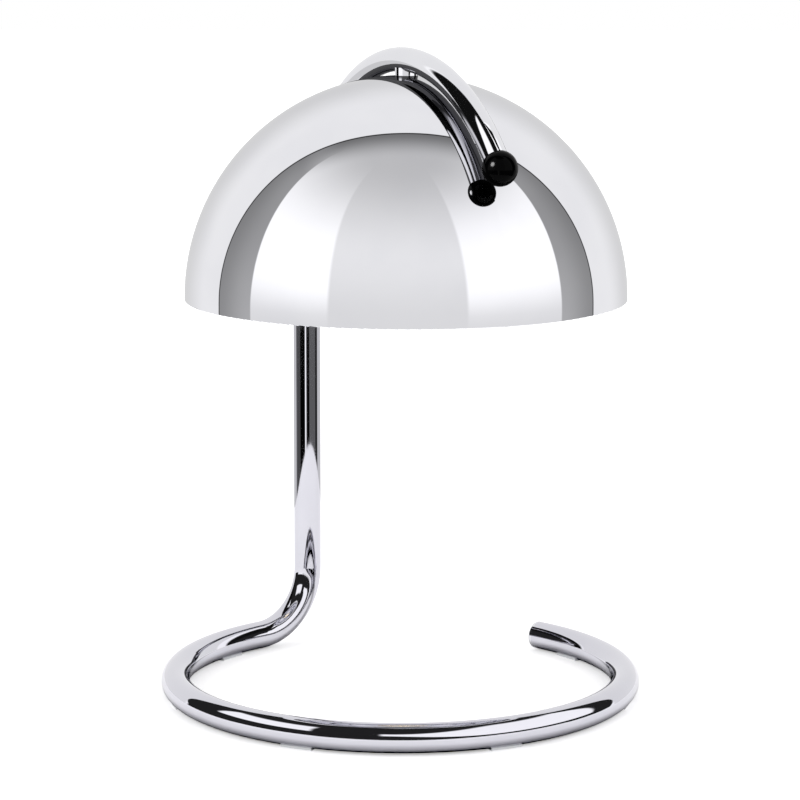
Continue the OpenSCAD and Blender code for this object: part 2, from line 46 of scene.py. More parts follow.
class NodeSheet:
    """A node tree with short calls for the nodes that the finishes share."""

    def __init__(self, tree: bpy.types.NodeTree) -> None:
        """Starts from an empty tree.

        Args:
            tree: the node tree to fill.
        """
        self.tree = tree
        tree.nodes.clear()

    def add(self, kind: str, **values: object) -> bpy.types.Node:
        """Adds a node.

        Args:
            kind: Blender's name of the node type.
            values: attributes of the node.

        Returns:
            The new node.
        """
        node = self.tree.nodes.new(kind)
        for name, value in values.items():
            setattr(node, name, value)
        return node

    def link(self, source: Socket, target: Socket) -> None:
        """Joins two sockets."""
        self.tree.links.new(source, target)

    def feed(self, target: Socket, value: Term) -> None:
        """Gives a socket a number, or links it where the value is a socket.

        Args:
            target: the socket to set.
            value: a number, a colour or another node's socket.
        """
        if isinstance(value, Socket):
            self.link(value, target)
        elif target.type == "RGBA":
            target.default_value = (*value, 1.0)
        else:
            target.default_value = value

    def math(self, operation: str, *terms: Term) -> Socket:
        """Adds a math node.

        Args:
            operation: Blender's name of the operation.
            terms: numbers or sockets, in order.

        Returns:
            The result's socket.
        """
        node = self.add("ShaderNodeMath", operation=operation)
        for place, term in enumerate(terms):
            self.feed(node.inputs[place], term)
        return node.outputs[0]

    def times(self, first: Term, second: Term) -> Socket:
        """Multiplies two numbers."""
        return self.math("MULTIPLY", first, second)

    def hypot(self, first: Socket, second: Socket) -> Socket:
        """Adds two numbers as the legs of a right angle."""
        return self.math("SQRT", self.math("ADD", self.times(first, first), self.times(second, second)))

    def front_turn(self, x: Socket, y: Socket) -> Socket:
        """Returns a direction's turn in radians: 0 to the front, growing to the right."""
        return self.math("ARCTAN2", x, self.times(y, -1.0))

    def ramp(self, value: Term, low: Term, high: Term, start: float = 0.0, end: float = 1.0) -> Socket:
        """Maps a value smoothly from one span to another.

        Args:
            value: the value to map.
            low: where the span starts.
            high: where the span ends.
            start: the result at low.
            end: the result at high.

        Returns:
            The result's socket.
        """
        node = self.add("ShaderNodeMapRange", interpolation_type="SMOOTHSTEP")
        for place, term in enumerate((value, low, high, start, end)):
            self.feed(node.inputs[place], term)
        return node.outputs[0]

    def sector(self, angle: Socket, start_deg: float, end_deg: float, soft_deg: float = 1.5) -> Socket:
        """Masks a span of an angle.

        Args:
            angle: the angle, in radians.
            start_deg: where the span starts, in degrees.
            end_deg: where it ends.
            soft_deg: half the width of its soft edges.

        Returns:
            1 inside the span and 0 outside it.
        """
        soft = math.radians(soft_deg)
        first, last = math.radians(start_deg), math.radians(end_deg)
        return self.times(self.ramp(angle, first - soft, first + soft),
                          self.ramp(angle, last - soft, last + soft, 1.0, 0.0))

    def blend(self, share: Term, first: Term, second: Term) -> Socket:
        """Mixes two numbers.

        Args:
            share: 0 for the first number, 1 for the second.
            first: the first number or socket.
            second: the second number or socket.

        Returns:
            The result's socket.
        """
        node = self.add("ShaderNodeMix", data_type="FLOAT")
        for place, term in ((0, share), (2, first), (3, second)):
            self.feed(node.inputs[place], term)
        return node.outputs[0]

    def blend_colour(self, share: Term, first: Colour, second: Colour) -> Socket:
        """Mixes two colours.

        Args:
            share: 0 for the first colour, 1 for the second.
            first: the first colour.
            second: the second colour.

        Returns:
            The result's socket.
        """
        node = self.add("ShaderNodeMix", data_type="RGBA")
        for place, term in ((0, share), (6, first), (7, second)):
            self.feed(node.inputs[place], term)
        return node.outputs[2]

    def place(self) -> Socket:
        """Returns the point on the piece, in metres."""
        return self.add("ShaderNodeTexCoord").outputs["Object"]

    def noise(self, scale: float, detail: float = 2.0, stretch: Point = (1.0, 1.0, 1.0)) -> Socket:
        """Adds a noise on the piece.

        Args:
            scale: features per metre.
            detail: number of finer layers.
            stretch: how much denser the noise is along each axis.

        Returns:
            The noise's value, about 0.3 to 0.7.
        """
        mapping = self.add("ShaderNodeMapping")
        mapping.inputs["Scale"].default_value = stretch
        self.link(self.place(), mapping.inputs["Vector"])
        node = self.add("ShaderNodeTexNoise")
        node.inputs["Scale"].default_value = scale
        node.inputs["Detail"].default_value = detail
        self.link(mapping.outputs[0], node.inputs["Vector"])
        return node.outputs[0]

    def patches(self, scale: float, span: Span, detail: float = 4.0) -> Socket:
        """Adds soft patches on the piece.

        Args:
            scale: patches per metre.
            span: the noise's values between which a patch fades in.
            detail: number of finer layers.

        Returns:
            0 between the patches and 1 in them.
        """
        return self.ramp(self.noise(scale, detail), *span)

    def bump(self, height: Socket, depth: float) -> Socket:
        """Turns a height into a bumped normal.

        Args:
            height: a value from 0 to 1.
            depth: the height of 1, in metres.

        Returns:
            The normal's socket.
        """
        node = self.add("ShaderNodeBump")
        node.inputs["Strength"].default_value = 1.0
        node.inputs["Distance"].default_value = depth
        self.link(height, node.inputs["Height"])
        return node.outputs[0]

    def surface(self, shader: Socket) -> None:
        """Makes a shader the piece's surface."""
        self.link(shader, self.add("ShaderNodeOutputMaterial").inputs["Surface"])

    def clear_where(self, mask: Socket, shader: Socket) -> Socket:
        """Makes a shader see-through in a mask.

        Args:
            mask: 1 where the piece is see-through.
            shader: the piece's shader elsewhere.

        Returns:
            The joined shader's socket.
        """
        mix = self.add("ShaderNodeMixShader")
        clear = self.add("ShaderNodeBsdfTransparent")
        for place, term in enumerate((mask, shader, clear.outputs[0])):
            self.link(term, mix.inputs[place])
        return mix.outputs[0]

    def shader(self, **sockets: Term) -> None:
        """Adds the piece's shader and its output.

        Args:
            sockets: values of the shader's sockets, with _ for the spaces in their names.
        """
        node = self.add("ShaderNodeBsdfPrincipled")
        for name, value in sockets.items():
            self.feed(node.inputs[name.replace("_", " ")], value)
        self.surface(node.outputs[0])


def new_material(name: str) -> tuple[bpy.types.Material, NodeSheet]:
    """Makes an empty material.

    Args:
        name: the material's name.

    Returns:
        The material and the sheet of its nodes.
    """
    material = bpy.data.materials.new(name)
    material.use_nodes = True
    return material, NodeSheet(material.node_tree)


# ------------------------------------------------------------------ finishes


@dataclass(frozen=True)
class Finish:
    """A finish for some of the lamp's solids. Each kind of finish fills in its own sheet."""

    name: str

    def fill(self, sheet: NodeSheet) -> None:
        """Fills in the sheet of the finish's nodes."""
        raise NotImplementedError

    def dress(self, *nodes: str) -> None:
        """Gives some of the frame's solids this finish, in all of their slots.

        Args:
            nodes: the solids' names.
        """
        material, sheet = new_material(self.name)
        self.fill(sheet)
        for node in nodes:
            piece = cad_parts[node]
            for place in range(max(1, len(piece.material_slots))):
                if place >= len(piece.data.materials):
                    piece.data.materials.append(material)
                else:
                    piece.material_slots[place].material = material
            log.info("dressed %s in %s", node, material.name)


@dataclass(frozen=True)
class Chrome(Finish):
    """Polished chrome plate, with the faint haze and ripple of a buffed surface."""

    tint: Colour = (0.80, 0.80, 0.83)
    haze_tint: Colour = (0.77, 0.77, 0.805)
    roughness: float = 0.025
    haze: float = 0.05
    haze_scale: float = 28.0
    haze_span: Span = (0.35, 0.7)
    wipe_scale: float = 252.0
    wipe_stretch: Point = (1.0, 0.12, 1.0)
    ripple: float = 0.000004
    ripple_scale: float = 60.0

    def fill(self, sheet: NodeSheet) -> None:
        """Fills in hazy chrome, or with no haze a perfect mirror.

        Args:
            sheet: the nodes to add to.
        """
        cloud = sheet.patches(self.haze_scale, self.haze_span)
        rough: Term = 0.0
        if self.haze:
            wipe = sheet.noise(self.wipe_scale, 2.0, self.wipe_stretch)
            rough = sheet.math("MULTIPLY_ADD", sheet.times(cloud, wipe), self.haze, self.roughness)
        sheet.shader(Base_Color=sheet.blend_colour(cloud, self.tint, self.haze_tint), Metallic=1.0, Roughness=rough,
                     Normal=sheet.bump(sheet.noise(self.ripple_scale, 1.0), self.ripple))


@dataclass(frozen=True)
class SatinMetal(Finish):
    """Plated or turned metal with fine lines in one direction."""

    tint: Colour
    dull_tint: Colour
    roughness: float
    stain_scale: float = 160.0
    stain_span: Span = (0.35, 0.68)
    line_scale: float = 900.0
    line_stretch: Point = (0.06, 0.06, 1.0)
    line_rough: float = 0.2
    depth: float = 0.00001

    def fill(self, sheet: NodeSheet) -> None:
        """Fills in lined metal with duller stains.

        Args:
            sheet: the nodes to add to.
        """
        lines = sheet.noise(self.line_scale, 3.0, self.line_stretch)
        stain = sheet.patches(self.stain_scale, self.stain_span)
        sheet.shader(Base_Color=sheet.blend_colour(stain, self.tint, self.dull_tint), Metallic=1.0,
                     Roughness=sheet.math("MULTIPLY_ADD", lines, self.line_rough, self.roughness),
                     Normal=sheet.bump(lines, self.depth))


@dataclass(frozen=True)
class Moulded(Finish):
    """Moulded plastic, rubber or silicone, from gloss to matt."""

    colour: Colour
    deep_colour: Colour
    roughness: float
    cloud_scale: float = 120.0
    cloud_span: Span = (0.3, 0.72)
    cloud_rough: float = 0.06
    grain_scale: float = 1500.0
    grain_depth: float = 0.00002
    specular: float = 0.5
    milky: float = 0.0
    milky_reach: Point = (0.002, 0.002, 0.002)

    def fill(self, sheet: NodeSheet) -> None:
        """Fills in grained plastic with deeper clouds.

        Args:
            sheet: the nodes to add to.
        """
        cloud = sheet.patches(self.cloud_scale, self.cloud_span)
        grain = sheet.noise(self.grain_scale)
        sheet.shader(Base_Color=sheet.blend_colour(cloud, self.colour, self.deep_colour),
                     Roughness=sheet.math("MULTIPLY_ADD", cloud, self.cloud_rough, self.roughness),
                     Normal=sheet.bump(grain, self.grain_depth), Specular_IOR_Level=self.specular,
                     Subsurface_Weight=self.milky, Subsurface_Radius=self.milky_reach)


@dataclass(frozen=True)
class Ceramic(Finish):
    """Fired ceramic, glazed or bare, with small dark specks."""

    roughness: float
    colour: Colour = (0.86, 0.85, 0.81)
    speck: Colour = (0.62, 0.58, 0.50)
    speck_scale: float = 900.0
    speck_span: Span = (0.66, 0.72)
    body_scale: float = 220.0
    body_rough: float = 0.12
    depth: float = 0.00004

    def fill(self, sheet: NodeSheet) -> None:
        """Fills in specked ceramic.

        Args:
            sheet: the nodes to add to.
        """
        specks = sheet.patches(self.speck_scale, self.speck_span, 2.0)
        body = sheet.noise(self.body_scale, 4.0)
        sheet.shader(Base_Color=sheet.blend_colour(specks, self.colour, self.speck),
                     Roughness=sheet.math("MULTIPLY_ADD", body, self.body_rough, self.roughness),
                     Normal=sheet.bump(body, self.depth))


@dataclass(frozen=True)
class ClearGlass(Finish):
    """Clear glass or quartz with slight waves."""

    tint: Colour = (0.97, 0.985, 0.99)
    edge_tint: Colour = (0.93, 0.97, 0.975)
    roughness: float = 0.02
    wave_scale: float = 260.0
    wave_span: Span = (0.35, 0.65)
    wave_rough: float = 0.03
    wave_depth: float = 0.00002
    ior: float = 1.47

    def fill(self, sheet: NodeSheet) -> None:
        """Fills in wavy glass.

        Args:
            sheet: the nodes to add to.
        """
        wave = sheet.noise(self.wave_scale)
        tint = sheet.blend_colour(sheet.ramp(wave, *self.wave_span), self.tint, self.edge_tint)
        sheet.shader(Base_Color=tint, Roughness=sheet.math("MULTIPLY_ADD", wave, self.wave_rough, self.roughness),
                     Normal=sheet.bump(wave, self.wave_depth), Transmission_Weight=1.0, IOR=self.ior)


@dataclass(frozen=True)
class FacetedMirror(Finish):
    """Mirror coating on pressed glass, with staggered rows of facets round an upright axis."""

    centre: tuple[float, float]
    tint: Colour = (0.84, 0.85, 0.86)
    deep_tint: Colour = (0.74, 0.76, 0.80)
    facets: int = 32
    row_height: float = 0.0028
    depth: float = 0.0004
    roughness: float = 0.06
    cloud_scale: float = 240.0
    cloud_span: Span = (0.35, 0.7)
    cloud_rough: float = 0.05

    def fill(self, sheet: NodeSheet) -> None:
        """Fills in rows of raised facets, each row half a facet on from the last.

        Args:
            sheet: the nodes to add to.
        """
        split = sheet.add("ShaderNodeSeparateXYZ")
        sheet.link(sheet.place(), split.inputs[0])
        x = sheet.math("SUBTRACT", split.outputs[0], self.centre[0])
        y = sheet.math("SUBTRACT", split.outputs[1], self.centre[1])
        row = sheet.math("DIVIDE", split.outputs[2], self.row_height)
        shift = sheet.times(sheet.math("FLOOR", row), 0.5)
        turn = sheet.math("MULTIPLY_ADD", sheet.math("ARCTAN2", y, x), self.facets / math.tau, shift)
        crown = sheet.math("ADD", sheet.math("PINGPONG", turn, 0.5), sheet.math("PINGPONG", row, 0.5))
        cloud = sheet.patches(self.cloud_scale, self.cloud_span, 3.0)
        sheet.shader(Base_Color=sheet.blend_colour(cloud, self.tint, self.deep_tint), Metallic=1.0,
                     Roughness=sheet.math("MULTIPLY_ADD", cloud, self.cloud_rough, self.roughness),
                     Normal=sheet.bump(crown, self.depth))


@dataclass(frozen=True)
class StippledGlass(Finish):
    """Pressed front glass with small round lenses, lit warmly from behind."""

    tint: Colour = (0.97, 0.985, 0.99)
    edge_tint: Colour = (0.90, 0.94, 0.95)
    roughness: float = 0.16
    lens_rough: float = -0.08
    lens_scale: float = 420.0
    lens_spread: float = 0.35
    lens_edge: float = 0.6
    depth: float = 0.0003
    glow: float = 0.25
    glow_colour: Colour = (1.0, 0.74, 0.42)
    ior: float = 1.5

    def fill(self, sheet: NodeSheet) -> None:
        """Fills in small lenses, clearer and smoother than the glass between them.

        Args:
            sheet: the nodes to add to.
        """
        cells = sheet.add("ShaderNodeTexVoronoi")
        cells.inputs["Scale"].default_value = self.lens_scale
        cells.inputs["Randomness"].default_value = self.lens_spread
        sheet.link(sheet.place(), cells.inputs["Vector"])
        lens = sheet.ramp(cells.outputs["Distance"], 0.0, self.lens_edge, 1.0, 0.0)
        sheet.shader(Base_Color=sheet.blend_colour(lens, self.edge_tint, self.tint),
                     Roughness=sheet.math("MULTIPLY_ADD", lens, self.lens_rough, self.roughness),
                     Normal=sheet.bump(lens, self.depth), Transmission_Weight=1.0, IOR=self.ior,
                     Emission_Color=self.glow_colour, Emission_Strength=self.glow)


@dataclass(frozen=True)
class Glowing(Finish):
    """A hot wire that gives its own warm light."""

    colour: Colour = (1.0, 0.72, 0.40)
    dark: Colour = (0.30, 0.22, 0.16)
    strength: float = 6.0
    turn_scale: float = 2600.0
    turn_stretch: Point = (0.1, 1.0, 0.1)
    depth: float = 0.00005

    def fill(self, sheet: NodeSheet) -> None:
        """Fills in a wound wire, darker between its turns.

        Args:
            sheet: the nodes to add to.
        """
        turns = sheet.noise(self.turn_scale, 1.0, self.turn_stretch)
        sheet.shader(Base_Color=sheet.blend_colour(turns, self.colour, self.dark), Metallic=0.6, Roughness=0.5,
                     Normal=sheet.bump(turns, self.depth), Emission_Color=self.colour,
                     Emission_Strength=self.strength)


# ------------------------------------------------------------------ sub-assemblies


@dataclass
class BaseFrame:
    """The ring and post, the cap on the ring's end, the pads and the inlet for the cord."""

    # painted shade: the arm's chrome with its tints darkened and a little bluer, so the ring and post mirror less
    # light
    tube: Finish = Chrome("polished_tube", (0.685, 0.68, 0.735), (0.66, 0.655, 0.71))
    cap: Finish = Chrome("polished_cap", haze=0.04)
    pad: Finish = Moulded("clear_silicone", (0.86, 0.87, 0.88), (0.80, 0.82, 0.83), 0.34, milky=0.3)
    bush: Finish = Moulded("black_nylon", (0.018, 0.018, 0.020), (0.030, 0.030, 0.032), 0.42)
    sheath: Finish = Moulded("black_sheath", (0.020, 0.020, 0.021), (0.034, 0.034, 0.035), 0.6)
    washer: Finish = Moulded("white_washer", (0.82, 0.82, 0.79), (0.74, 0.74, 0.71), 0.35)

    def dress(self) -> None:
        """Gives the base's solids their finishes."""
        self.tube.dress("base_tube")
        self.cap.dress("end_cap")
        self.pad.dress("ring_pads")
        self.bush.dress("cord_bush")
        self.sheath.dress("lower_flex", "upper_flex")
        self.washer.dress("bearing_washer")


@dataclass
class ArmJoint:
    """The collar and its screw, which carry the arm on the post."""

    collar: Finish = SatinMetal("satin_collar", (0.74, 0.74, 0.76), (0.60, 0.60, 0.62), 0.16)
    screw: Finish = SatinMetal("black_steel", (0.05, 0.05, 0.055), (0.09, 0.08, 0.08), 0.35)

    def dress(self) -> None:
        """Gives the joint's solids their finishes."""
        self.collar.dress("stop_collar")
        self.screw.dress("collar_screw")


@dataclass
class Arm:
    """The arched tube over the shade and the ball on its end."""

    tube: Finish = Chrome("polished_arm")
    grommet: Finish = Moulded("pale_nylon", (0.78, 0.76, 0.70), (0.70, 0.67, 0.60), 0.45)
    ball: Finish = Moulded("gloss_black", (0.0006, 0.0006, 0.0007), (0.0012, 0.0012, 0.0014), 0.10,
                           grain_scale=300.0, grain_depth=0.0000005, specular=0.03)

    def dress(self) -> None:
        """Gives the arm's solids their finishes."""
        self.tube.dress("arm_tube")
        self.grommet.dress("tail_grommet")
        self.ball.dress("end_ball")


@dataclass
class Shade:
    """The mirror dome and the stack that holds it under the arm."""

    dome: Finish = Chrome("mirror_dome", haze=0.0, ripple=0.000002)
    spacer: Finish = Chrome("polished_spacer", roughness=0.06)
    brass: Finish = SatinMetal("turned_brass", (0.72, 0.54, 0.24), (0.56, 0.40, 0.17), 0.22)
    zinc: Finish = SatinMetal("zinc_plate", (0.66, 0.67, 0.69), (0.54, 0.55, 0.56), 0.3)
    spring: Finish = SatinMetal("spring_steel", (0.42, 0.43, 0.45), (0.30, 0.31, 0.34), 0.32)
    bush: Finish = Moulded("white_nylon", (0.80, 0.79, 0.74), (0.72, 0.71, 0.66), 0.4)

    def dress(self) -> None:
        """Gives the shade's solids their finishes."""
        self.dome.dress("shade")
        self.spacer.dress("neck_spacer")
        self.brass.dress("shade_nipple", "nipple_nut")
        self.zinc.dress("spreader_washer", "holder_bracket", "holder_screws", "holder_nuts")
        self.spring.dress("spring_washer")
        self.bush.dress("nipple_bush")


@dataclass
class LampHolder:
    """The ceramic lampholder, its contacts and the two cores that feed it."""

    body: Finish = Ceramic("glazed_ceramic", 0.16)
    contacts: Finish = SatinMetal("contact_brass", (0.70, 0.52, 0.22), (0.58, 0.40, 0.16), 0.25)
    live: Finish = Moulded("brown_core", (0.16, 0.065, 0.025), (0.12, 0.05, 0.02), 0.4)
    neutral: Finish = Moulded("blue_core", (0.02, 0.10, 0.35), (0.015, 0.08, 0.28), 0.4)

    def dress(self) -> None:
        """Gives the lampholder's solids their finishes."""
        self.body.dress("lamp_holder")
        self.contacts.dress("holder_contacts")
        self.live.dress("live_lead")
        self.neutral.dress("neutral_lead")


@dataclass
class Bulb:
    """The reflector bulb with its twist-lock pins."""

    base: Finish = Ceramic("bare_ceramic", 0.5, (0.80, 0.77, 0.70))
    pins: Finish = SatinMetal("nickel_pins", (0.70, 0.69, 0.67), (0.60, 0.58, 0.55), 0.2)
    lens: Finish = StippledGlass("front_glass")
    capsule: Finish = ClearGlass("quartz")
    wire: Finish = Glowing("hot_tungsten")

    def dress(self) -> None:
        """Gives the bulb's solids their finishes; the reflector's facets turn round its own axis."""
        self.base.dress("bulb_base")
        self.pins.dress("bulb_pins")
        low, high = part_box("bulb_reflector")
        centre = ((low[0] + high[0]) / 2, (low[1] + high[1]) / 2)
        FacetedMirror("coated_glass", centre).dress("bulb_reflector")
        self.lens.dress("bulb_lens")
        self.capsule.dress("bulb_capsule")
        self.wire.dress("bulb_filament")


# ------------------------------------------------------------------ studio


@dataclass(frozen=True)
class Ray:
    """A mirrored ray's direction, as the sockets that the studio's parts are laid out by."""

    x: Socket
    y: Socket
    z: Socket
    turn: Socket
    wide: Socket
    rise: Socket

    @classmethod
    def read(cls, sheet: NodeSheet) -> "Ray":
        """Reads the direction.

        Args:
            sheet: the nodes of the surroundings.

        Returns:
            The direction; turn is 0 to the front and grows to the right, rise is 0 on the level.
        """
        split = sheet.add("ShaderNodeSeparateXYZ")
        sheet.link(sheet.add("ShaderNodeTexCoord").outputs["Generated"], split.inputs[0])
        x, y, z = split.outputs
        turn = sheet.front_turn(x, y)
        return cls(x, y, z, turn, sheet.math("ABSOLUTE", turn), sheet.math("ARCSINE", z))


@dataclass(frozen=True)
class DomeView:
    """What the mirror dome sees of the studio.

    Turns and rises are in radians, levels are brightnesses. Directions are unit vectors with y to the back. The
    dark line runs where y is as long as the leg line_up * z (above the level only) and the leg line_out * x.
    """

    centre_level: float = 0.86
    centre_top_level: float = 0.98
    centre_rise: Span = (-0.10, 0.45)
    centre_left: float = -0.70
    centre_lean: float = -0.115
    centre_soft: float = 0.02
    centre_right: Span = (0.53, 0.57)
    panel_level: float = 1.30
    panel_rise: Span = (-0.16, 0.20)
    strip_levels: Span = (0.46, 0.34)
    strip_rise: Span = (-0.20, 0.62)
    strip_turn: float = 1.505
    strip_lean: float = 0.24
    strip_soft: Span = (-0.006, 0.012)
    strip_wide: float = 0.45
    strip_sides: Span = (1.1, 0.72)
    strip_end: Span = (0.85, 1.2)
    top_level: float = 0.62
    top_rise: Span = (0.45, 1.35)
    line_level: float = 0.02
    line_up: float = 0.181
    line_out: float = 0.405
    line_front: Span = (-0.024, -0.012)
    line_back: Span = (-0.008, 0.002)
    seam_level: float = 0.20
    seam_depth: float = 0.30
    seam_rise: Span = (0.75, 1.15)
    back_levels: Span = (1.00, 0.72)
    back_span: Span = (0.60, 1.0)

    def front(self, sheet: NodeSheet, ray: Ray) -> Socket:
        """Lays out the front: panels on both sides of a paler centre, then grey strips that darken upward.

        Args:
            sheet: the nodes of the surroundings.
            ray: the direction.

        Returns:
            The brightness in each direction.
        """
        lift = sheet.math("MAXIMUM", ray.rise, 0.0)
        lift2 = sheet.times(lift, lift)
        left = sheet.math("MULTIPLY_ADD", lift2, self.centre_lean, self.centre_left)
        inside = sheet.ramp(sheet.math("SUBTRACT", ray.turn, left), -self.centre_soft, self.centre_soft)
        centre = sheet.times(inside, sheet.ramp(ray.turn, *self.centre_right, 1.0, 0.0))
        pale = sheet.ramp(ray.rise, *self.centre_rise, self.centre_level, self.centre_top_level)
        panel = sheet.ramp(ray.rise, *self.panel_rise, self.centre_level, self.panel_level)
        level = sheet.blend(centre, panel, pale)
        level = sheet.blend(sheet.ramp(ray.rise, *self.top_rise), level, self.top_level)
        across = sheet.math("SUBTRACT", ray.wide, sheet.math("MULTIPLY_ADD", lift2, self.strip_lean, self.strip_turn))
        grey = sheet.times(sheet.ramp(ray.rise, *self.strip_rise, *self.strip_levels),
                           sheet.ramp(across, 0.0, self.strip_wide, *self.strip_sides))
        strip = sheet.times(sheet.ramp(across, *self.strip_soft), sheet.ramp(ray.rise, *self.strip_end, 1.0, 0.0))
        return sheet.blend(strip, level, grey)

    def level(self, sheet: NodeSheet, ray: Ray) -> Socket:
        """Lays out the front, the dark line round it and the pale surroundings behind the line.

        Args:
            sheet: the nodes of the surroundings.
            ray: the direction.

        Returns:
            The brightness in each direction.
        """
        up = sheet.times(sheet.math("MAXIMUM", ray.z, 0.0), self.line_up)
        out = sheet.times(ray.x, self.line_out)
        past = sheet.math("SUBTRACT", ray.y, sheet.hypot(up, out))
        # over the top the grey deepens toward the line
        near = sheet.times(sheet.ramp(past, -self.seam_depth, 0.0), sheet.ramp(ray.rise, *self.seam_rise))
        front = sheet.blend(near, self.front(sheet, ray), self.seam_level)
        behind = sheet.ramp(ray.y, *self.back_span, *self.back_levels)
        level = sheet.blend(sheet.ramp(past, *self.line_front), front, self.line_level)
        return sheet.blend(sheet.ramp(past, *self.line_back), level, behind)


@dataclass(frozen=True)
class Stand:
    """A stand or panel near the table: its span in degrees and its brightness."""

    start_deg: float
    end_deg: float
    level: float


@dataclass(frozen=True)
class TubeView:
    """What the bent tubes and the ball see of the studio.

    Spans of turn are in degrees, from the front to the right; rises are in radians; levels are brightnesses.
    """

    back_level: float = 0.95
    panel_level: float = 1.25
    centre_level: float = 0.86
    dark_level: float = 0.006
    low_levels: Span = (0.72, 0.14)
    front_deg: Span = (-121.0, 121.0)
    centre_deg: Span = (-40.0, 30.0)
    centre_soft_deg: float = 4.0
    flags_deg: tuple[Span, Span] = ((-119.0, -84.0), (84.0, 112.0))
    hood_deg: Span = (-121.0, 62.0)
    hood_soft_deg: float = 3.0
    hood_rise: Span = (1.10, 1.20)
    low_deg: Span = (-104.0, 101.0)
    cut_deg: float = -7.9
    cut_soft: float = 0.006
    stands: tuple[Stand, ...] = (Stand(-90.0, -59.0, 0.09), Stand(-59.0, -17.0, 0.002), Stand(-15.0, -4.5, 1.3),
                                 Stand(-4.5, 2.0, 0.08), Stand(2.0, 22.0, 0.002), Stand(76.0, 100.0, 0.03))
    stand_soft_deg: float = 1.2

    def above(self, sheet: NodeSheet, ray: Ray) -> Socket:
        """Lays out white behind and above the right, and dark flags beside and above the left.

        Args:
            sheet: the nodes of the surroundings.
            ray: the direction.

        Returns:
            The brightness in each direction.
        """
        left, right = (sheet.sector(ray.turn, *span) for span in self.flags_deg)
        hood = sheet.sector(ray.turn, *self.hood_deg, self.hood_soft_deg)
        hood = sheet.times(hood, sheet.ramp(ray.rise, *self.hood_rise))
        centre = sheet.sector(ray.turn, *self.centre_deg, self.centre_soft_deg)
        front = sheet.blend(centre, self.panel_level, self.centre_level)
        level = sheet.blend(sheet.sector(ray.turn, *self.front_deg), self.back_level, front)
        dark = sheet.math("MAXIMUM", sheet.math("MAXIMUM", left, right), hood)
        return sheet.blend(dark, level, self.dark_level)

    def level(self, sheet: NodeSheet, ray: Ray) -> Socket:
        """Lays out what is above the round table top, and past it the stands and panels low down.

        Args:
            sheet: the nodes of the surroundings.
            ray: the direction.

        Returns:
            The brightness in each direction.
        """
        below = sheet.blend(sheet.sector(ray.turn, *self.low_deg), *self.low_levels)
        for stand in self.stands:
            span = sheet.sector(ray.turn, stand.start_deg, stand.end_deg, self.stand_soft_deg)
            below = sheet.blend(span, below, stand.level)
        cut = math.radians(self.cut_deg)
        return sheet.blend(sheet.ramp(ray.rise, cut - self.cut_soft, cut), below, self.above(sheet, ray))


@dataclass(frozen=True)
class Surroundings:
    """The world: white to the camera, even soft light, and the studio that polish mirrors.

    The dome and the tubes are shown two layouts of the studio. The dome alone is a perfect mirror, so its rays
    are the singular ones. Polish that shows in polish (twice_depth) loses most of its light, but for the key side.
    """

    dome: DomeView = DomeView()
    tubes: TubeView = TubeView()
    soft_level: float = 0.80
    twice_depth: float = 1.5
    twice_level: float = 0.10
    twice_key_level: float = 0.9
    key_deg: Span = (-100.0, -52.0)
    key_soft_deg: float = 5.0
    key_rise: Span = (0.2, 0.4)

    def build(self) -> None:
        """Makes the world."""
        world = bpy.data.worlds.new("studio")
        bpy.context.scene.world = world
        world.use_nodes = True
        sheet = NodeSheet(world.node_tree)
        rays = sheet.add("ShaderNodeLightPath").outputs
        ray = Ray.read(sheet)
        polish = sheet.blend(rays["Is Singular Ray"], self.tubes.level(sheet, ray), self.dome.level(sheet, ray))
        twice = sheet.math("GREATER_THAN", rays["Glossy Depth"], self.twice_depth)
        key = sheet.sector(ray.turn, *self.key_deg, self.key_soft_deg)
        key = sheet.times(key, sheet.ramp(ray.rise, *self.key_rise))
        left = sheet.blend(twice, 1.0, sheet.blend(key, self.twice_level, self.twice_key_level))
        mirrored = sheet.math("MAXIMUM", rays["Is Glossy Ray"], rays["Is Transmission Ray"])
        level = sheet.blend(mirrored, self.soft_level, sheet.times(polish, left))
        back = sheet.add("ShaderNodeBackground")
        sheet.link(sheet.blend(rays["Is Camera Ray"], level, 1.0), back.inputs["Strength"])
        back.inputs["Color"].default_value = (1.0, 1.0, 1.0, 1.0)
        sheet.link(back.outputs[0], sheet.add("ShaderNodeOutputWorld").inputs["Surface"])


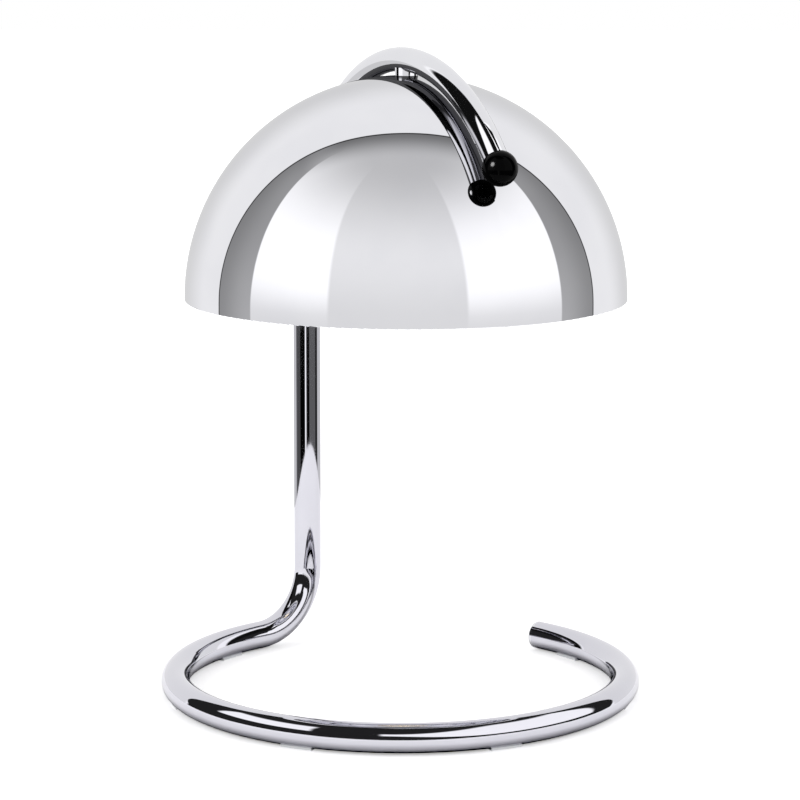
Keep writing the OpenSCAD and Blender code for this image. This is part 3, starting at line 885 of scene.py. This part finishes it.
@dataclass(frozen=True)
class Floor:
    """The pale floor. Polished metal sees only the round table top under the lamp."""

    reach: float = 6.0
    colour: Colour = (0.90, 0.90, 0.905)
    deep_colour: Colour = (0.88, 0.88, 0.885)
    grain_scale: float = 40.0
    grain_span: Span = (0.3, 0.7)
    white_span: Span = (0.4, 1.2)
    white_levels: Span = (0.44, 0.80)
    ring_r: float = 0.1035
    # a band round ring_r that only polish sees: painted shadow close under the ring, painted light further out
    ring_shadow_span: Span = (0.003, 0.014)
    ring_shadow_levels: Span = (-0.22, 0.30)
    table_r: float = 0.43

    def material(self) -> bpy.types.Material:
        """Makes the floor white to the camera and through glass. To polish it shows a painted shadow close under the
        ring and painted light further out.

        Returns:
            The floor's material.
        """
        material, sheet = new_material("pale_floor")
        rays = sheet.add("ShaderNodeLightPath").outputs
        matt = sheet.add("ShaderNodeBsdfDiffuse")
        grain = sheet.patches(self.grain_scale, self.grain_span, 3.0)
        sheet.link(sheet.blend_colour(grain, self.colour, self.deep_colour), matt.inputs["Color"])
        length = sheet.add("ShaderNodeVectorMath", operation="LENGTH")
        sheet.link(sheet.place(), length.inputs[0])
        away = length.outputs["Value"]
        # painted shadow under the ring and painted light beyond it, added to the floor's glow for polish only
        under = sheet.math("ABSOLUTE", sheet.math("SUBTRACT", away, self.ring_r))
        glint = sheet.ramp(under, *self.ring_shadow_span, *self.ring_shadow_levels)
        straight = sheet.math("MAXIMUM", rays["Is Camera Ray"], rays["Is Transmission Ray"])
        white = sheet.times(straight, sheet.ramp(away, *self.white_span, *self.white_levels))
        lift = sheet.add("ShaderNodeEmission")
        sheet.link(sheet.math("MULTIPLY_ADD", rays["Is Glossy Ray"], glint, white), lift.inputs["Strength"])
        lit = sheet.add("ShaderNodeAddShader")
        sheet.link(matt.outputs[0], lit.inputs[0])
        sheet.link(lift.outputs[0], lit.inputs[1])
        outside = sheet.math("GREATER_THAN", away, self.table_r)
        sheet.surface(sheet.clear_where(sheet.times(outside, rays["Is Glossy Ray"]), lit.outputs[0]))
        return material

    def build(self) -> None:
        """Makes the floor's square."""
        mesh = bpy.data.meshes.new("floor")
        corners = ((-1, -1), (1, -1), (1, 1), (-1, 1))
        mesh.from_pydata([(x * self.reach, y * self.reach, 0) for x, y in corners], [], [(0, 1, 2, 3)])
        mesh.materials.append(self.material())
        floor = bpy.data.objects.new("floor", mesh)
        bpy.context.scene.collection.objects.link(floor)


@dataclass(frozen=True)
class Card:
    """A dark card bent round the lamp, which only polished metal sees, from its inner side.

    Each of its rows is a radius and a height, from the inner to the outer edge.
    """

    name: str
    finish: str
    rows: tuple[Span, ...]
    start_deg: float
    end_deg: float
    dark_level: float = 0.02
    steps: int = 96

    def level(self, sheet: NodeSheet) -> Term:
        """Returns the card's brightness, the same all over."""
        return self.dark_level

    def material(self) -> bpy.types.Material:
        """Makes the card lit on its inner side and see-through from its outer side.

        Returns:
            The card's material.
        """
        material, sheet = new_material(self.finish)
        glow = sheet.add("ShaderNodeEmission")
        sheet.feed(glow.inputs["Strength"], self.level(sheet))
        outer = sheet.add("ShaderNodeNewGeometry").outputs["Backfacing"]
        sheet.surface(sheet.clear_where(outer, glow.outputs[0]))
        return material

    def build(self) -> None:
        """Makes the card's bent sheet."""
        points, faces = [], []
        for step in range(self.steps + 1):
            angle = math.radians(self.start_deg + (self.end_deg - self.start_deg) * step / self.steps)
            points += [(r * math.cos(angle), r * math.sin(angle), h) for r, h in self.rows]
        wide = len(self.rows)
        for step in range(self.steps):
            for row in range(wide - 1):
                a = step * wide + row
                faces.append((a, a + wide, a + wide + 1, a + 1))
        mesh = bpy.data.meshes.new(self.name)
        mesh.from_pydata(points, [], faces)
        mesh.materials.append(self.material())
        card = bpy.data.objects.new(self.name, mesh)
        bpy.context.scene.collection.objects.link(card)
        card.visible_camera = card.visible_diffuse = card.visible_shadow = False
        card.visible_transmission = card.visible_volume_scatter = False


@dataclass(frozen=True)
class Canopy(Card):
    """The dark canopy in front of the lamp, with two white panels, that the ring mirrors.

    right_near and right_far are the right panel's edges: a span of turn in radians, and the radius at its ends.
    """

    panel_level: float = 1.3
    soft: float = 0.012
    right_deg: Span = (-8.0, 95.0)
    right_near: tuple[float, float, float, float] = (-0.1, 0.9, 0.275, 0.150)
    right_far: tuple[float, float, float, float] = (-0.1, 0.8, 0.36, 0.66)
    left_deg: Span = (-88.0, -38.0)
    left_reach: Span = (0.185, 0.34)

    def level(self, sheet: NodeSheet) -> Term:
        """Lays out the two panels; the right one runs outward as it turns to the side.

        Args:
            sheet: the canopy's nodes.

        Returns:
            The brightness at each point.
        """
        split = sheet.add("ShaderNodeSeparateXYZ")
        sheet.link(sheet.place(), split.inputs[0])
        x, y = split.outputs[0], split.outputs[1]
        turn = sheet.front_turn(x, y)
        reach = sheet.hypot(x, y)
        near = sheet.math("SUBTRACT", reach, sheet.ramp(turn, *self.right_near))
        far = sheet.math("SUBTRACT", reach, sheet.ramp(turn, *self.right_far))
        right = sheet.times(sheet.ramp(near, -self.soft, self.soft), sheet.ramp(far, -self.soft, self.soft, 1.0, 0.0))
        right = sheet.times(right, sheet.sector(turn, *self.right_deg))
        start, end = self.left_reach
        left = sheet.times(sheet.ramp(reach, start - self.soft, start + self.soft),
                           sheet.ramp(reach, end - self.soft, end + self.soft, 1.0, 0.0))
        left = sheet.times(left, sheet.sector(turn, *self.left_deg))
        return sheet.blend(sheet.math("MAXIMUM", left, right), self.dark_level, self.panel_level)


@dataclass(frozen=True)
class SoftLight:
    """A round soft light that faces the lamp. With glint_on it lights that solid alone, as a glint."""

    name: str
    place: Point
    width: float
    power: float
    glint_on: str = ""
    aim: Point = (0.0, 0.0, 0.15)

    def build(self) -> None:
        """Hangs the light."""
        data = bpy.data.lights.new(self.name, "AREA")
        data.shape, data.size, data.energy = "DISK", self.width, self.power
        light = bpy.data.objects.new(self.name, data)
        light.location = self.place
        light.rotation_mode = "QUATERNION"
        light.rotation_quaternion = (Vector(self.place) - Vector(self.aim)).to_track_quat("Z", "Y")
        light.visible_glossy = bool(self.glint_on)
        light.visible_diffuse = not self.glint_on
        if self.glint_on:
            lit = bpy.data.collections.new(self.name)
            lit.objects.link(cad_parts[self.glint_on])
            light.light_linking.receiver_collection = lit
        bpy.context.scene.collection.objects.link(light)


@dataclass(frozen=True)
class Studio:
    """The world, the floor, the cards and the lights, in the order in which they are made."""

    world: Surroundings = Surroundings()
    floor: Floor = Floor()
    curb: Card = Card("low_curb", "dark_curb", ((0.45, 0.0), (0.45, 0.030)), 180.0, 360.0)
    canopy: Card = Canopy("front_canopy", "dark_canopy",
                          ((0.108, 0.1788), (0.3, 0.1508), (0.6, 0.107), (1.33, 0.0004)), 158.0, 382.0)
    key: SoftLight = SoftLight("key_panel", (-1.5, -0.75, 1.0), 0.9, 7.0)
    fill: SoftLight = SoftLight("fill_panel", (1.5, -0.9, 1.1), 1.1, 5.0)
    glint: SoftLight = SoftLight("glint", (-1.25, -1.0, 1.05), 0.75, 190.0, "end_ball")

    def build(self) -> None:
        """Sets up the whole studio."""
        bpy.context.scene.view_settings.view_transform = "Standard"
        for part in (self.world, self.floor, self.curb, self.canopy, self.key, self.fill, self.glint):
            part.build()
        log.info("studio ready")


@dataclass(frozen=True)
class PhotoCamera:
    """The camera at the photograph's place, angle and lens."""

    place: Point = (0.00053, -1.3829, 0.3730)
    down_deg: float = 9.712
    yaw_deg: float = -0.035
    roll_deg: float = 0.095
    focal_px: float = 3085.05
    frame_px: float = 800.0
    sensor_mm: float = 36.0
    near: float = 0.05
    far: float = 50.0

    def build(self) -> None:
        """Makes the camera the scene's own."""
        down, yaw, roll = (math.radians(v) for v in (self.down_deg, self.yaw_deg, self.roll_deg))
        ahead = Vector((math.sin(yaw) * math.cos(down), math.cos(yaw) * math.cos(down), -math.sin(down)))
        flat = Vector((math.cos(yaw), -math.sin(yaw), 0.0))
        above = flat.cross(ahead)
        right = math.cos(roll) * flat + math.sin(roll) * above
        up = math.cos(roll) * above - math.sin(roll) * flat
        data = bpy.data.cameras.new("photo_camera")
        data.sensor_width = self.sensor_mm
        data.lens = self.focal_px / self.frame_px * self.sensor_mm
        data.clip_start, data.clip_end = self.near, self.far
        camera = bpy.data.objects.new("photo_camera", data)
        turned = Matrix((right, up, -ahead)).transposed().to_4x4()
        camera.matrix_world = Matrix.Translation(self.place) @ turned
        bpy.context.scene.collection.objects.link(camera)
        bpy.context.scene.camera = camera
        log.info("camera at %s", self.place)


def main() -> None:
    """Sets up the camera and the studio, and dresses the lamp."""
    logging.basicConfig(level=logging.INFO, format="%(name)s: %(message)s")
    PhotoCamera().build()
    Studio().build()
    for part in (BaseFrame(), ArmJoint(), Arm(), Shade(), LampHolder(), Bulb()):
        part.dress()
        log.info("%s done", type(part).__name__)


if __name__ == "__main__":
    main()
